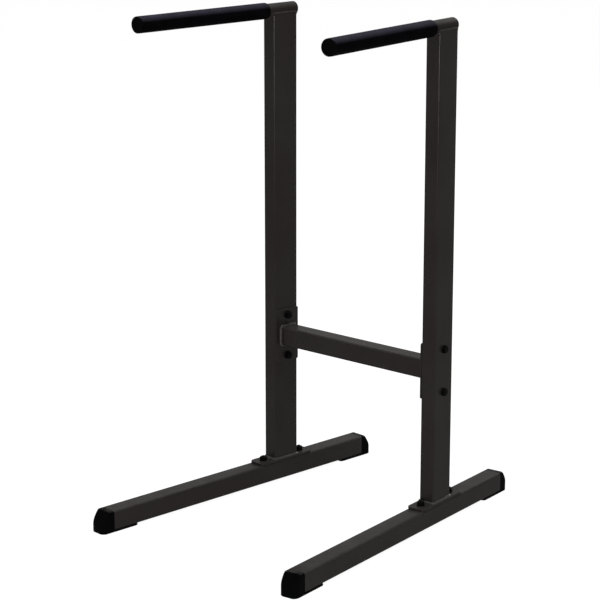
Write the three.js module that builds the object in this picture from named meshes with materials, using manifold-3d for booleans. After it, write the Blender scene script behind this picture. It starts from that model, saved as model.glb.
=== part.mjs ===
// Dip station: two side frames, each turned outwards towards its grip, bolted to one crossbar.
// Millimetres. X runs across the station, -Y points to the free ends of the handles, +Z is up.
// The origin lies on the floor, below the middle of the whole station.

import * as THREE from 'three';
import { mergeVertices } from 'three/addons/utils/BufferGeometryUtils.js';
import Module from 'manifold-3d';

const wasm = await Module();
wasm.setup();

// Layout
const sideSpacing = 520; // between the axes of the two uprights
const splayDegrees = 5.2; // how far each side frame is turned
const handleHeight = 1252; // handle axis above the floor
const crossbarHeight = 400; // crossbar axis above the floor

// Clearances
const fitGap = 0.3; // between pieces that touch on the real station
const cutOverrun = 3; // how far a cutting body passes the wall that it cuts

// Base tube
const baseTubeSize = 50;
const baseTubeWall = 2;
const baseTubeCorner = 6;
const baseFrontReach = 590; // from the upright's axis to the tube's front end
const baseRearReach = 280;

// Foot cap, one at each end of a base tube
const footPadThickness = 5; // under the tube
const footPadReach = 77; // along the tube
const footPadCorner = 8;
const footPadEdge = 2; // along the sides of the sole
const footNoseReach = 37; // past the end of the tube
const footNoseCorner = 15;
const footNoseFlat = 12; // level part of the nose's top
const footShoulderReach = 18.5; // where the rounded shoulder ends
const footShoulderDrop = 6;
const footSlantDrop = 35; // where the slanted face turns upright
const footToeRadius = 1.5; // between the nose's face and the sole
const footSpigotLength = 30;
const footSpigotWall = 2.5;
const footHollowReach = 10; // how far the spigot's hollow runs into the nose

// Foot plate, under the upright
const footPlateWidth = 50;
const footPlateLength = 184;
const footPlateThickness = 6;
const footPlateCorner = 12;
const footBoltSpacing = 130;

// Upright
const uprightWidth = 40;
const uprightDepth = 80;
const uprightWall = 2;
const uprightCorner = 4;
const saddleDrop = 9; // from the handle axis down to the upright's flat top

// Handle tube
const handleDiameter = 35;
const handleWall = 2.5;
const handleFrontReach = 466; // from the upright's axis to the tube's front end
const handleRearReach = 44;

// Grip sleeve
const gripThickness = 3;
const gripEdge = 1; // at the free end
const gripTaperReach = 7; // soft rounding at the inner end, along the sleeve
const gripTaperDrop = 2.2;
const gripStandOff = 9.5; // between the sleeve and the upright

// Plugs of the handle tube
const plugBarrelLength = 18;
const plugBarrelWall = 2;
const gripPlugThickness = 3.2;
const gripPlugInset = 0.3; // how far the head lies inside the sleeve's outline
const gripPlugEdge = 1;
const gripPlugRecess = 10; // radius of the dished middle
const gripPlugRecessDepth = 1.2;
const rearPlugThickness = 4.4;
const rearPlugEdge = 3.5;

// Crossbar and its end plates
const crossbarSize = 50;
const crossbarWall = 2;
const crossbarCorner = 6;
const endPlateDepth = 78;
const endPlateHeight = 143;
const endPlateThickness = 4;
const endPlateCorner = 5;
const endPlateBoltSpacing = 110;

// Fasteners, all of one thread size
const threadDiameter = 10;
const threadChamfer = 1;
const threadProtrusion = 2.5; // bolt end past its nut
const boltHoleDiameter = 11;
const hexAcrossFlats = 17;
const hexHeadHeight = 6.4;
const nutHeight = 8.4;
const washerDiameter = 21;
const washerThickness = 2;
const domeHeadDiameter = 24;
const domeHeadHeight = 5;
const accessHoleDiameter = 28; // in the base tube's lower wall

// Steps of the round shapes
const cornerSteps = 4;
const handleSteps = 40;
const fastenerSteps = 24;
const edgeSteps = 3;

// Angles and heights that follow from the sizes
const quarterTurn = Math.PI / 2;
const splayAngle = THREE.MathUtils.degToRad(splayDegrees);
const baseTubeAxis = footPadThickness + baseTubeSize / 2;
const baseTubeTop = footPadThickness + baseTubeSize;
const footPlateTop = baseTubeTop + footPlateThickness;
const uprightTop = handleHeight - saddleDrop;
const gripInnerRadius = handleDiameter / 2 + fitGap;
const gripRadius = gripInnerRadius + gripThickness;
const washerBore = threadDiameter / 2 + fitGap;

// Finishes
const powderCoat = new THREE.MeshStandardMaterial({ color: 0x2b2a29, roughness: 0.5, metalness: 0.3 });
const blackPlastic = new THREE.MeshStandardMaterial({ color: 0x0e0e0f, roughness: 0.55, metalness: 0 });
const gripFoam = new THREE.MeshStandardMaterial({ color: 0x131318, roughness: 0.8, metalness: 0 });
const blackSteel = new THREE.MeshStandardMaterial({ color: 0x151515, roughness: 0.45, metalness: 0.8 });

// Bases that stand a drawn outline up. The outline's two directions and its thickness become:
const ontoFloor = new THREE.Matrix4(); // x, y, +z
const ontoFront = basis([1, 0, 0], [0, 0, 1], [0, -1, 0]); // x, z, -y
const ontoSide = basis([0, 1, 0], [0, 0, 1], [1, 0, 0]); // y, z, +x
const ontoAxis = basis([1, 0, 0], [0, 0, -1], [0, 1, 0]); // x, -z, +y

function basis(across, up, through) {
  const vectors = [across, up, through].map((direction) => new THREE.Vector3(...direction));
  return new THREE.Matrix4().makeBasis(...vectors);
}

// Outlines

function arcPoints(centreX, centreY, radius, startAngle, endAngle, steps) {
  const points = [];
  for (let step = 0; step <= steps; step += 1) {
    const angle = startAngle + ((endAngle - startAngle) * step) / steps;
    points.push(new THREE.Vector2(centreX + radius * Math.cos(angle), centreY + radius * Math.sin(angle)));
  }
  return points;
}

function circlePoints(centreX, centreY, radius, steps) {
  return arcPoints(centreX, centreY, radius, 0, 4 * quarterTurn, steps).slice(0, steps);
}

// A rectangle about its centre. The two corners at the lower side can have a radius of their own.
function rectanglePoints(width, height, corner, lowerCorner = corner) {
  const points = [];
  for (let quarter = 0; quarter < 4; quarter += 1) {
    const radius = quarter < 2 ? corner : lowerCorner;
    const middle = (quarter + 0.5) * quarterTurn;
    const centreX = Math.sign(Math.cos(middle)) * (width / 2 - radius);
    const centreY = Math.sign(Math.sin(middle)) * (height / 2 - radius);
    const start = quarter * quarterTurn;
    points.push(...arcPoints(centreX, centreY, radius, start, start + quarterTurn, cornerSteps));
  }
  return points;
}

function hexagonPoints(acrossFlats) {
  return circlePoints(0, 0, acrossFlats / Math.sqrt(3), 6);
}

function outline(points, holes = []) {
  const shape = new THREE.Shape(points);
  shape.holes = holes.map((hole) => new THREE.Path(hole));
  return shape;
}

function tubeOutline(width, height, wall, corner) {
  const bore = rectanglePoints(width - 2 * wall, height - 2 * wall, corner - wall);
  return outline(rectanglePoints(width, height, corner), [bore]);
}

function ringOutline(outerRadius, innerRadius, steps) {
  return outline(circlePoints(0, 0, outerRadius, steps), [circlePoints(0, 0, innerRadius, steps)]);
}

// Solids

// Pushes an outline through a thickness that is centred on the drawing plane.
function prism(shape, thickness, stand) {
  const geometry = new THREE.ExtrudeGeometry(shape, { depth: thickness, bevelEnabled: false });
  geometry.translate(0, 0, -thickness / 2);
  return geometry.applyMatrix4(stand);
}

// Turns a profile of [radius, place] pairs about the Y axis.
function turned(profile, steps) {
  return new THREE.LatheGeometry(profile.map(([radius, place]) => new THREE.Vector2(radius, place)), steps);
}

function toSolid(geometry) {
  const bare = geometry.clone();
  bare.deleteAttribute('normal');
  bare.deleteAttribute('uv');
  const merged = mergeVertices(bare);
  const triVerts = Uint32Array.from(merged.index.array);
  const vertProperties = merged.attributes.position.array;
  return new wasm.Manifold(new wasm.Mesh({ numProp: 3, vertProperties, triVerts }));
}

function toGeometry(solid) {
  const { vertProperties, triVerts } = solid.getMesh();
  const geometry = new THREE.BufferGeometry();
  geometry.setAttribute('position', new THREE.BufferAttribute(vertProperties, 3));
  geometry.setIndex(new THREE.BufferAttribute(triVerts, 1));
  geometry.computeVertexNormals();
  return geometry;
}

function cut(geometry, cutters) {
  let solid = toSolid(geometry);
  cutters.forEach((cutter) => {
    solid = solid.subtract(toSolid(cutter));
  });
  return toGeometry(solid);
}

function joined(first, second) {
  return toGeometry(toSolid(first).add(toSolid(second)));
}

function common(first, second) {
  return toGeometry(toSolid(first).intersect(toSolid(second)));
}

function piece(name, geometry, material) {
  const mesh = new THREE.Mesh(geometry, material);
  mesh.name = name;
  return mesh;
}

// Places along the side frame where the foot plate is bolted, front one first.
const footBolts = [
  { label: 'front', y: -footBoltSpacing / 2 },
  { label: 'rear', y: footBoltSpacing / 2 },
];

// Heights where the crossbar is bolted.
const crossbarBolts = [
  { label: 'upper', z: crossbarHeight + endPlateBoltSpacing / 2 },
  { label: 'lower', z: crossbarHeight - endPlateBoltSpacing / 2 },
];

// Base tube: square holes for the bolts' necks in the top wall, access holes in the lower wall.
function baseTube() {
  const length = baseFrontReach + baseRearReach;
  const section = tubeOutline(baseTubeSize, baseTubeSize, baseTubeWall, baseTubeCorner);
  const tube = prism(section, length, ontoFront);
  tube.translate(0, (baseRearReach - baseFrontReach) / 2, baseTubeAxis);
  const wallCut = baseTubeWall + 2 * cutOverrun;
  const neckHole = threadDiameter + 2 * fitGap;
  const cutters = [];
  footBolts.forEach(({ y }) => {
    const square = new THREE.BoxGeometry(neckHole, neckHole, wallCut);
    square.translate(0, y, baseTubeTop - baseTubeWall / 2);
    const round = outline(circlePoints(0, 0, accessHoleDiameter / 2, fastenerSteps));
    const access = prism(round, wallCut, ontoFloor);
    access.translate(0, y, footPadThickness + baseTubeWall / 2);
    cutters.push(square, access);
  });
  return cut(tube, cutters);
}

// Foot cap, drawn for the front end: the end of its tube lies at y = 0 and the nose points to -Y.
function footCap() {
  const slant = (footNoseReach - footShoulderReach) / (footSlantDrop - footShoulderDrop);
  const shoulder = new THREE.QuadraticBezierCurve(
    new THREE.Vector2(-footNoseFlat, baseTubeTop),
    new THREE.Vector2(-footShoulderReach + footShoulderDrop * slant, baseTubeTop),
    new THREE.Vector2(-footShoulderReach, baseTubeTop - footShoulderDrop),
  );
  const toe = footToeRadius - footNoseReach;
  const profile = outline([
    new THREE.Vector2(footPadReach, footPadThickness),
    new THREE.Vector2(-fitGap, footPadThickness),
    new THREE.Vector2(-fitGap, baseTubeTop),
    ...shoulder.getPoints(cornerSteps),
    new THREE.Vector2(-footNoseReach, baseTubeTop - footSlantDrop),
    ...arcPoints(toe, footToeRadius, footToeRadius, 2 * quarterTurn, 3 * quarterTurn, edgeSteps),
    new THREE.Vector2(footPadReach, 0),
  ]);
  const side = prism(profile, baseTubeSize + 2 * cutOverrun, ontoSide);

  const length = footNoseReach + footPadReach;
  const planPoints = rectanglePoints(baseTubeSize, length, footPadCorner, footNoseCorner);
  const plan = prism(outline(planPoints), baseTubeTop + 2 * cutOverrun, ontoFloor);
  plan.translate(0, (footPadReach - footNoseReach) / 2, baseTubeTop / 2);

  const frontPoints = rectanglePoints(baseTubeSize, baseTubeTop, baseTubeCorner, footPadEdge);
  const front = prism(outline(frontPoints), length + 2 * cutOverrun, ontoFront);
  front.translate(0, (footPadReach - footNoseReach) / 2, baseTubeTop / 2);

  const spigotSize = baseTubeSize - 2 * baseTubeWall - 2 * fitGap;
  const spigotCorner = baseTubeCorner - baseTubeWall - fitGap;
  const spigotOverlap = fitGap + cutOverrun;
  const spigot = prism(
    outline(rectanglePoints(spigotSize, spigotSize, spigotCorner)),
    footSpigotLength + spigotOverlap,
    ontoFront,
  );
  spigot.translate(0, (footSpigotLength - spigotOverlap) / 2, baseTubeAxis);

  const hollowSize = spigotSize - 2 * footSpigotWall;
  const hollowLength = footSpigotLength + cutOverrun + footHollowReach;
  const hollow = prism(
    outline(rectanglePoints(hollowSize, hollowSize, spigotCorner / 2)),
    hollowLength,
    ontoFront,
  );
  hollow.translate(0, hollowLength / 2 - footHollowReach, baseTubeAxis);

  return cut(joined(common(common(side, plan), front), spigot), [hollow]);
}

function footPlate() {
  const holes = footBolts.map(({ y }) => circlePoints(0, y, boltHoleDiameter / 2, fastenerSteps));
  const points = rectanglePoints(footPlateWidth, footPlateLength, footPlateCorner);
  const plate = prism(outline(points, holes), footPlateThickness, ontoFloor);
  return plate.translate(0, 0, baseTubeTop + footPlateThickness / 2);
}

// Upright: coped at its top so that the handle tube lies in a saddle, drilled for the crossbar's bolts.
function upright() {
  const height = uprightTop - footPlateTop;
  const tube = prism(tubeOutline(uprightWidth, uprightDepth, uprightWall, uprightCorner), height, ontoFloor);
  tube.translate(0, 0, footPlateTop + height / 2);
  const saddleRadius = handleDiameter / 2 + fitGap;
  const saddle = prism(
    outline(circlePoints(0, 0, saddleRadius, handleSteps)),
    uprightDepth + 2 * cutOverrun,
    ontoFront,
  );
  saddle.translate(0, 0, handleHeight);
  const drills = crossbarBolts.map(({ z }) => {
    const round = outline(circlePoints(0, 0, boltHoleDiameter / 2, fastenerSteps));
    return prism(round, uprightWidth + 2 * cutOverrun, ontoSide).translate(0, 0, z);
  });
  return cut(tube, [saddle, ...drills]);
}

function handleTube() {
  const length = handleFrontReach + handleRearReach;
  const section = ringOutline(handleDiameter / 2, handleDiameter / 2 - handleWall, handleSteps);
  const tube = prism(section, length, ontoFront);
  return tube.translate(0, (handleRearReach - handleFrontReach) / 2, handleHeight);
}

// Grip sleeve, turned about Y from the tube's front end to just before the upright.
function gripSleeve() {
  const front = -handleFrontReach;
  const rear = -uprightDepth / 2 - gripStandOff;
  const rim = gripRadius - gripEdge;
  const frontEdge = arcPoints(rim, front + gripEdge, gripEdge, -quarterTurn, 0, edgeSteps);
  const profile = frontEdge.map(({ x, y }) => [x, y]);
  arcPoints(0, 0, 1, 0, quarterTurn, cornerSteps).forEach(({ x, y }) => {
    profile.push([gripRadius - gripTaperDrop * (1 - x), rear - gripTaperReach * (1 - y)]);
  });
  profile.unshift([gripInnerRadius, front]);
  profile.push([gripInnerRadius, rear], [gripInnerRadius, front]);
  return turned(profile, handleSteps).translate(0, 0, handleHeight);
}

// Plug of the handle tube, turned about Y: its barrel ends at the origin and its head points to +Y.
function tubePlug(headRadius, headThickness, headEdge, recess) {
  const barrelRadius = handleDiameter / 2 - handleWall - fitGap;
  const hollowRadius = barrelRadius - plugBarrelWall;
  const rim = headRadius - headEdge;
  const edge = arcPoints(rim, headThickness - headEdge, headEdge, 0, quarterTurn, edgeSteps);
  const profile = [
    [0, -plugBarrelWall],
    [hollowRadius, -plugBarrelWall],
    [hollowRadius, -plugBarrelLength],
    [barrelRadius, -plugBarrelLength],
    [barrelRadius, fitGap],
    [headRadius, fitGap],
    ...edge.map(({ x, y }) => [x, fitGap + y]),
  ];
  const face = fitGap + headThickness;
  if (recess) {
    profile.push([recess.radius, face], [recess.radius - recess.depth, face - recess.depth]);
    profile.push([0, face - recess.depth]);
  } else {
    profile.push([0, face]);
  }
  return turned(profile, handleSteps);
}

// Distance from the upright's axis to the face of an end plate that the crossbar meets.
const endPlateFace = uprightWidth / 2 + fitGap + endPlateThickness;

function endPlate(inwards) {
  const holes = crossbarBolts.map(({ z }) => {
    return circlePoints(0, z - crossbarHeight, boltHoleDiameter / 2, fastenerSteps);
  });
  const points = rectanglePoints(endPlateDepth, endPlateHeight, endPlateCorner);
  const plate = prism(outline(points, holes), endPlateThickness, ontoSide);
  return plate.translate(inwards * (endPlateFace - endPlateThickness / 2), 0, crossbarHeight);
}

// Crossbar: its ends are mitred to lie along the end plates of the turned side frames.
function crossbar() {
  const halfLength = sideSpacing / 2 - (endPlateFace + fitGap) / Math.cos(splayAngle);
  const centreY = -endPlateFace * Math.sin(splayAngle);
  const section = tubeOutline(crossbarSize, crossbarSize, crossbarWall, crossbarCorner);
  const tube = prism(section, 2 * halfLength, ontoSide).translate(0, centreY, crossbarHeight);
  const points = tube.attributes.position;
  for (let i = 0; i < points.count; i += 1) {
    const mitre = points.getY(i) * Math.tan(splayAngle);
    points.setX(i, points.getX(i) - Math.sign(points.getX(i)) * mitre);
  }
  return tube;
}

// Fasteners are drawn along +Y: the face under a head, or the lower face of a nut or washer, is at y = 0.

function shankProfile(length) {
  const radius = threadDiameter / 2;
  return [
    [radius, length - threadChamfer],
    [radius - threadChamfer, length],
    [0, length],
  ];
}

function hexBolt(length) {
  const start = -hexHeadHeight / 2;
  const shank = turned([[0, start], [threadDiameter / 2, start], ...shankProfile(length)], fastenerSteps);
  const head = prism(outline(hexagonPoints(hexAcrossFlats)), hexHeadHeight, ontoAxis);
  return joined(head.translate(0, start, 0), shank);
}

function domeBolt(length) {
  const dome = [];
  for (let step = 0; step <= cornerSteps; step += 1) {
    const angle = (step / cornerSteps) * quarterTurn;
    dome.push([(domeHeadDiameter / 2) * Math.sin(angle), -domeHeadHeight * Math.cos(angle)]);
  }
  const body = turned([...dome, [threadDiameter / 2, 0], ...shankProfile(length)], fastenerSteps);
  const neckLength = baseTubeWall - fitGap;
  const neckRoot = domeHeadHeight / 2;
  const neck = new THREE.BoxGeometry(threadDiameter, neckLength + neckRoot, threadDiameter);
  return joined(body, neck.translate(0, (neckLength - neckRoot) / 2, 0));
}

function washer() {
  const ring = ringOutline(washerDiameter / 2, washerBore, fastenerSteps);
  return prism(ring, washerThickness, ontoAxis).translate(0, washerThickness / 2, 0);
}

function nut() {
  const bore = circlePoints(0, 0, washerBore, fastenerSteps);
  const body = prism(outline(hexagonPoints(hexAcrossFlats), [bore]), nutHeight, ontoAxis);
  return body.translate(0, nutHeight / 2, 0);
}

// Bolt, washer and nut that hold the foot plate to the base tube.
function footFasteners(label, y) {
  const group = new THREE.Group();
  const boltSeat = baseTubeTop - baseTubeWall;
  const nutSeat = footPlateTop + washerThickness;
  const boltLength = nutSeat + nutHeight + threadProtrusion - boltSeat;
  const bolt = piece(`base_bolt_${label}`, domeBolt(boltLength), blackSteel);
  bolt.position.z = boltSeat;
  const ring = piece(`base_washer_${label}`, washer(), blackSteel);
  ring.position.z = footPlateTop;
  const hexNut = piece(`base_nut_${label}`, nut(), blackSteel);
  hexNut.position.z = nutSeat;
  [bolt, ring, hexNut].forEach((mesh) => {
    mesh.rotation.x = quarterTurn;
  });
  group.add(bolt, ring, hexNut);
  group.position.y = y;
  return group;
}

// Bolt with two washers and a nut, through the upright and the end plate, head on the outer side.
function crossbarFasteners(label, z, inwards) {
  const group = new THREE.Group();
  const places = [-uprightWidth / 2 - fitGap - washerThickness];
  places.push(places[0] - fitGap);
  places.push(endPlateFace + fitGap);
  places.push(places[2] + washerThickness + fitGap);
  const [outerWasher, head, innerWasher, nutPlace] = places;
  const boltLength = nutPlace + nutHeight + threadProtrusion - head;
  const meshes = [
    [`crossbar_head_washer_${label}`, washer(), outerWasher],
    [`crossbar_bolt_${label}`, hexBolt(boltLength), head],
    [`crossbar_nut_washer_${label}`, washer(), innerWasher],
    [`crossbar_nut_${label}`, nut(), nutPlace],
  ];
  meshes.forEach(([name, geometry, place]) => {
    const mesh = piece(name, geometry, blackSteel);
    mesh.position.y = place;
    group.add(mesh);
  });
  group.position.z = z;
  group.rotation.z = -inwards * quarterTurn;
  return group;
}

// One side frame about the axis of its upright. side is -1 for the left frame and 1 for the right one.
function sideFrame(side, label) {
  const frame = new THREE.Group();
  const inwards = -side;
  frame.add(
    piece(`base_tube_${label}`, baseTube(), powderCoat),
    piece(`foot_plate_${label}`, footPlate(), powderCoat),
    piece(`upright_${label}`, upright(), powderCoat),
    piece(`handle_tube_${label}`, handleTube(), powderCoat),
    piece(`grip_${label}`, gripSleeve(), gripFoam),
    piece(`crossbar_end_plate_${label}`, endPlate(inwards), powderCoat),
  );

  const frontCap = piece(`foot_cap_front_${label}`, footCap(), blackPlastic);
  frontCap.position.y = -baseFrontReach;
  const rearCap = piece(`foot_cap_rear_${label}`, footCap(), blackPlastic);
  rearCap.position.y = baseRearReach;
  rearCap.rotation.z = 2 * quarterTurn;

  const recess = { radius: gripPlugRecess, depth: gripPlugRecessDepth };
  const gripPlug = piece(
    `grip_end_plug_${label}`,
    tubePlug(gripRadius - gripPlugInset, gripPlugThickness, gripPlugEdge, recess),
    blackPlastic,
  );
  gripPlug.position.set(0, -handleFrontReach, handleHeight);
  gripPlug.rotation.z = 2 * quarterTurn;
  const rearPlug = piece(
    `handle_rear_plug_${label}`,
    tubePlug(handleDiameter / 2, rearPlugThickness, rearPlugEdge),
    blackPlastic,
  );
  rearPlug.position.set(0, handleRearReach, handleHeight);
  frame.add(frontCap, rearCap, gripPlug, rearPlug);

  footBolts.forEach((bolt) => frame.add(footFasteners(`${bolt.label}_${label}`, bolt.y)));
  crossbarBolts.forEach((bolt) => {
    frame.add(crossbarFasteners(`${bolt.label}_${label}`, bolt.z, inwards));
  });

  frame.position.x = (side * sideSpacing) / 2;
  frame.rotation.z = side * splayAngle;
  return frame;
}

const dipStation = new THREE.Group();
dipStation.add(sideFrame(-1, 'left'), sideFrame(1, 'right'));
dipStation.add(piece('crossbar', crossbar(), powderCoat));

// Moves the middle of the station's outline over the origin.
const extent = new THREE.Box3().setFromObject(dipStation, true);
dipStation.position.y = -(extent.min.y + extent.max.y) / 2;

export default dipStation;
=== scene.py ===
from math import cos, pi, radians, sin, tan

import bmesh
import bpy
from mathutils import Matrix, Vector, noise


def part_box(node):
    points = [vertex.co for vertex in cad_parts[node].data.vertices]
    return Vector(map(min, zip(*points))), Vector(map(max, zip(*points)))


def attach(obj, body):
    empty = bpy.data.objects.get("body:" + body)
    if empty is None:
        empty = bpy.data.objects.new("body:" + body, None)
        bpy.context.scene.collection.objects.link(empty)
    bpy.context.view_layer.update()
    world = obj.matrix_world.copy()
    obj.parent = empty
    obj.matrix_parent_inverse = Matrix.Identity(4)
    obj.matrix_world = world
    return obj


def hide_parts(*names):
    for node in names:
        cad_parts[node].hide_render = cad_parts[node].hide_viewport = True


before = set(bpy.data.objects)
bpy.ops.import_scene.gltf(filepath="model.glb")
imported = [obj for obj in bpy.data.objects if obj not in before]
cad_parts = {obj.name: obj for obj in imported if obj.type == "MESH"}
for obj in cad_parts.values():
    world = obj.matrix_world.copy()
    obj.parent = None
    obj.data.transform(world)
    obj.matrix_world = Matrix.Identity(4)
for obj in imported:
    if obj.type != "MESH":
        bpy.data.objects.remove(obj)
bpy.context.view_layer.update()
print("frame loaded,", len(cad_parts), "nodes")


def millimetres(**sizes):
    return {name: size / 1000 for name, size in sizes.items()}


# The station: two side frames, each turned about the axis of its upright
layout = millimetres(spacing=520, handleHeight=1252, crossbarHeight=400)
splay = radians(5.2)
uprightLow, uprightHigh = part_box("upright_left")
depthMiddle = (uprightLow.y + uprightHigh.y) / 2
sides = {"left": -1, "right": 1}


def sidePlace(side):
    sign = sides[side]
    across = Matrix.Translation((sign * layout["spacing"] / 2, depthMiddle, 0))
    return across @ Matrix.Rotation(sign * splay, 4, "Z")


# Camera, at the photograph's viewing angle
view = {
    "across": 3.3734, "back": 4.049, "height": 1.8899,  # metres from the uprights' middle and the floor
    "turn": 0.7221, "tilt": 0.2520,  # radians
    "lens": 128.178, "sensor": 36,  # millimetres
    "nearest": 0.1, "furthest": 200,  # metres that it can see
}
cameraData = bpy.data.cameras.new("camera")
cameraData.sensor_width = view["sensor"]
cameraData.lens = view["lens"]
cameraData.clip_start = view["nearest"]
cameraData.clip_end = view["furthest"]
camera = bpy.data.objects.new("camera", cameraData)
camera.location = (view["across"], depthMiddle - view["back"], view["height"])
camera.rotation_euler = (pi / 2 - view["tilt"], 0, view["turn"])
bpy.context.scene.collection.objects.link(camera)
bpy.context.scene.camera = camera


# Node trees

def wire(tree, kind, inputs=None, **settings):
    made = tree.nodes.new(kind)
    for name, value in settings.items():
        setattr(made, name, value)
    for name, value in (inputs or {}).items():
        if isinstance(value, bpy.types.NodeSocket):
            tree.links.new(value, made.inputs[name])
        else:
            made.inputs[name].default_value = value
    return made


def maths(tree, operation, first, second=0.0, limited=False):
    made = wire(tree, "ShaderNodeMath", {0: first, 1: second}, operation=operation, use_clamp=limited)
    return made.outputs[0]


def spread(tree, value, low, high, newLow=0.0, newHigh=1.0):
    return wire(tree, "ShaderNodeMapRange", {
        "Value": value,
        "From Min": low,
        "From Max": high,
        "To Min": newLow,
        "To Max": newHigh,
    }).outputs["Result"]


def noiseOn(tree, size, detail, roughness=0.5):
    # Noise that is fixed to the piece, with lumps of this size in metres.
    return wire(tree, "ShaderNodeTexNoise", {
        "Vector": wire(tree, "ShaderNodeTexCoord").outputs["Object"],
        "Scale": maths(tree, "DIVIDE", 1.0, size),
        "Detail": detail,
        "Roughness": roughness,
    }).outputs["Fac"]


def addSockets(tree, direction, sockets):
    for name, (kind, value) in sockets.items():
        socket = tree.interface.new_socket(name, in_out=direction, socket_type="NodeSocket" + kind)
        if value is not None:
            socket.default_value = value


def shaderGroup(name, inputs, outputs):
    tree = bpy.data.node_groups.new(name, "ShaderNodeTree")
    addSockets(tree, "INPUT", {label: ("Float", value) for label, value in inputs.items()})
    addSockets(tree, "OUTPUT", {label: ("Float", None) for label in outputs})
    return tree, tree.nodes.new("NodeGroupInput").outputs, tree.nodes.new("NodeGroupOutput").inputs


# Grain: a fine texture over a slow mottle, both in metres on the piece
noiseSpan = (0.3, 0.7)  # nearly all that a noise gives lies between these
grainInputs = {"Grain Size": 0.001, "Mottle Size": 0.1}
grainTree, asked, given = shaderGroup("surfaceGrain", grainInputs, ["Height", "Mottle"])
fine = noiseOn(grainTree, asked["Grain Size"], detail=2.0, roughness=0.6)
slow = noiseOn(grainTree, asked["Mottle Size"], detail=3.0, roughness=0.55)
grainTree.links.new(fine, given["Height"])
grainTree.links.new(spread(grainTree, slow, *noiseSpan), given["Mottle"])

# Rub: where edges have been handled, broken up by noise
edgeSpan = (0.995, 0.85)  # cosines of how far a rounded face leans from the real one, none to most rubbed
patchSpan = (0.42, 0.62)
rubTree, asked, given = shaderGroup("edgeRub", {"Edge Width": 0.001, "Patch Size": 0.02}, ["Mask"])
rounded = wire(rubTree, "ShaderNodeBevel", {"Radius": asked["Edge Width"]}, samples=4).outputs["Normal"]
flat = wire(rubTree, "ShaderNodeNewGeometry").outputs["Normal"]
agreement = wire(rubTree, "ShaderNodeVectorMath", {
    0: rounded,
    1: flat,
}, operation="DOT_PRODUCT").outputs["Value"]
patches = noiseOn(rubTree, asked["Patch Size"], detail=4.0)
edge = spread(rubTree, agreement, *edgeSpan)
rubbed = maths(rubTree, "MULTIPLY", edge, spread(rubTree, patches, *patchSpan), limited=True)
rubTree.links.new(rubbed, given["Mask"])

# Dust and painted sheen: a lighter film on what faces up, which stands for settled dust and also paints
# light falling on the tops
driftSpan = (0.3, 0.75)
dustAndSheenInputs = {"Amount": 0.2, "Patch Size": 0.05, "Facing From": 0.3, "Facing To": 0.95, "Unevenness": 1.0}
dustAndSheenTree, asked, given = shaderGroup("dustAndPaintedSheen", dustAndSheenInputs, ["Mask"])
normal = wire(dustAndSheenTree, "ShaderNodeNewGeometry").outputs["Normal"]
upwards = wire(dustAndSheenTree, "ShaderNodeSeparateXYZ", {0: normal}).outputs["Z"]
drift = noiseOn(dustAndSheenTree, asked["Patch Size"], detail=5.0, roughness=0.65)
upper = spread(dustAndSheenTree, upwards, asked["Facing From"], asked["Facing To"])
thin = maths(dustAndSheenTree, "SUBTRACT", 1.0, spread(dustAndSheenTree, drift, *driftSpan))
even = maths(dustAndSheenTree, "SUBTRACT", 1.0, maths(dustAndSheenTree, "MULTIPLY", thin, asked["Unevenness"]))
film = maths(dustAndSheenTree, "MULTIPLY", upper, even)
dustAndSheenTree.links.new(maths(dustAndSheenTree, "MULTIPLY", film, asked["Amount"], limited=True), given["Mask"])


def newMaterial(name, constants):
    # The numbers that are the same all over the surface are set on the shader's own sockets.
    material = bpy.data.materials.new(name)
    material.use_nodes = True
    shader = material.node_tree.nodes["Principled BSDF"]
    for label, value in constants.items():
        shader.inputs[label].default_value = value
    return material, material.node_tree, shader


def groupIn(tree, group, inputs):
    made = tree.nodes.new("ShaderNodeGroup")
    made.node_tree = group
    for label, value in inputs.items():
        made.inputs[label].default_value = value
    return made.outputs


def mixed(tree, factor, first, second):
    # Sockets 0, 6 and 7 and output 2 are the ones that a colour mix uses.
    made = wire(tree, "ShaderNodeMix", data_type="RGBA")
    for index, value in ((0, factor), (6, first), (7, second)):
        if isinstance(value, bpy.types.NodeSocket):
            tree.links.new(value, made.inputs[index])
        elif index:
            made.inputs[index].default_value = (*value, 1)
        else:
            made.inputs[index].default_value = value
    return made.outputs[2]


def surfaced(tree, shader, tone, roughness, height, texture):
    bump = wire(tree, "ShaderNodeBump", {"Height": height, **texture})
    tree.links.new(tone, shader.inputs["Base Color"])
    tree.links.new(roughness, shader.inputs["Roughness"])
    tree.links.new(bump.outputs["Normal"], shader.inputs["Normal"])


# Tone of the film on upward faces, which is dust and painted light from above.
dustAndSheenTone = (0.11, 0.105, 0.10)

# Charcoal powder coat of tubes and plates
coatLook = {
    "dark": (0.0136, 0.0110, 0.0103), "light": (0.0174, 0.0151, 0.0143), "rubbed": (0.048, 0.044, 0.042),
    "rubbedShare": 0.35, "dullShare": 0.6, "roughness": (0.29, 0.35),
    "shader": {"Metallic": 0.0, "Specular IOR Level": 0.003, "Coat Weight": 0.11, "Coat Roughness": 0.18},
    "grain": {"Grain Size": 0.0011, "Mottle Size": 0.16},
    "rub": {"Edge Width": 0.0012, "Patch Size": 0.03},
    "dustAndSheen": {"Amount": 0.2, "Patch Size": 0.04, "Unevenness": 0.6},
    "texture": {"Distance": 0.00012, "Strength": 0.6},
}

# The same coat over the weld beads of feet and crossbar: its lighter tone is a painted highlight where the
# beads catch light, under a glossier clear top
beadHighlightLook = {
    **coatLook,
    "dark": (0.020, 0.018, 0.017), "light": (0.036, 0.033, 0.031), "rubbed": (0.07, 0.066, 0.063),
    "shader": {"Metallic": 0.0, "Specular IOR Level": 0.02, "Coat Weight": 0.24, "Coat Roughness": 0.18},
    "grain": {"Grain Size": 0.0011, "Mottle Size": 0.025},
}

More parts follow.
